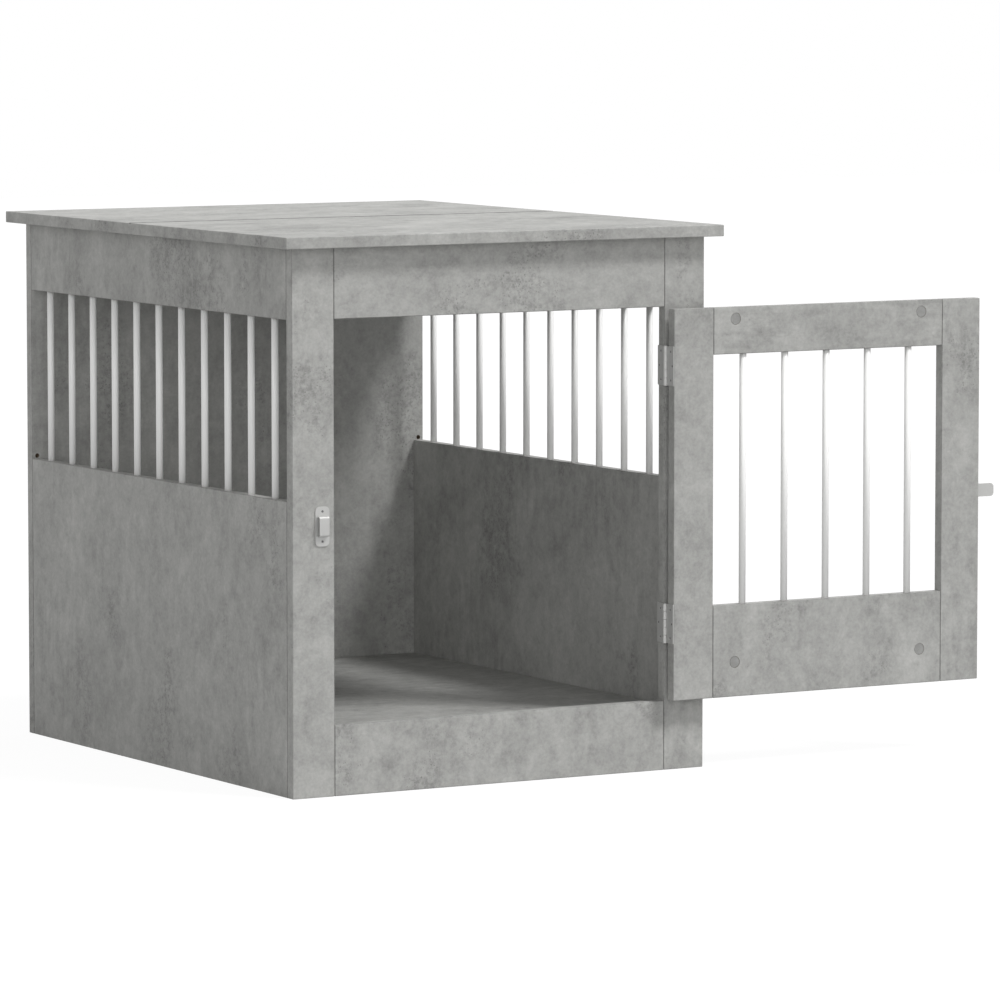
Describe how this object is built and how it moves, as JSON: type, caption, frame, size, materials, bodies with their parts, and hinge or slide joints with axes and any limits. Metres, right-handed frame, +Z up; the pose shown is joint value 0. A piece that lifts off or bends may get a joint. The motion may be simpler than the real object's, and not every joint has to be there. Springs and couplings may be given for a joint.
{
  "type": "dog crate end table",
  "caption": "Table-height dog crate of concrete-look boards, with barred side windows and a barred front door that swings right round and locks with a flat slide bolt.",
  "frame": {"origin": "on the floor, at mid width, in the middle of the front frame's thickness", "axes": "+Z up, +X to the right seen from the front, +Y from the front to the back"},
  "size_m": [1.081, 0.804, 0.71],
  "materials": {
    "laminate": "matt concrete-pattern laminate",
    "bars": "off-white enamel",
    "fittings": "satin nickel",
    "cam_covers": "matt grey"
  },
  "bodies": {
    "cabinet": {"tabletop_front": "laminate", "tabletop_rear": "laminate", "tabletop_seam_rail": "laminate", "front_left_stile": "laminate", "front_right_stile": "laminate", "front_top_rail": "laminate", "front_bottom_rail": "laminate", "left_side_rail": "laminate", "left_side_panel": "laminate", "right_side_rail": "laminate", "right_side_panel": "laminate", "back_panel": "laminate", "floor_panel": "laminate", "floor_batten_left": "laminate", "floor_batten_right": "laminate", "left_side_bar_01": "bars", "left_side_bar_02": "bars", "left_side_bar_03": "bars", "left_side_bar_04": "bars", "left_side_bar_05": "bars", "left_side_bar_06": "bars", "left_side_bar_07": "bars", "left_side_bar_08": "bars", "left_side_bar_09": "bars", "left_side_bar_10": "bars", "left_side_bar_11": "bars", "right_side_bar_01": "bars", "right_side_bar_02": "bars", "right_side_bar_03": "bars", "right_side_bar_04": "bars", "right_side_bar_05": "bars", "right_side_bar_06": "bars", "right_side_bar_07": "bars", "right_side_bar_08": "bars", "right_side_bar_09": "bars", "right_side_bar_10": "bars", "right_side_bar_11": "bars", "upper_hinge_frame_leaf": "fittings", "upper_hinge_pin": "fittings", "lower_hinge_frame_leaf": "fittings", "lower_hinge_pin": "fittings", "bolt_keeper": "fittings"},
    "door": {"door_hinge_stile": "laminate", "door_latch_stile": "laminate", "door_top_rail": "laminate", "door_bottom_rail": "laminate", "door_bar_1": "bars", "door_bar_2": "bars", "door_bar_3": "bars", "door_bar_4": "bars", "door_bar_5": "bars", "door_cam_top_latch_side": "cam_covers", "door_cam_top_hinge_side": "cam_covers", "door_cam_bottom_latch_side": "cam_covers", "door_cam_bottom_hinge_side": "cam_covers", "upper_hinge_door_leaf": "fittings", "lower_hinge_door_leaf": "fittings", "latch_plate": "fittings"},
    "bolt": {"slide_bolt": "fittings", "slide_bolt_knob": "fittings"}
  },
  "joints": [
    {"name": "door_hinge", "type": "hinge", "parent": "cabinet", "child": "door", "pos_m": [0.243, -0.012, 0.348], "axis": [0, 0, -1], "range_deg": [0, 180]},
    {"name": "bolt_slide", "type": "slide", "parent": "door", "child": "bolt", "axis": [-1, 0, 0], "range_m": [0, 0.024]}
  ]
}
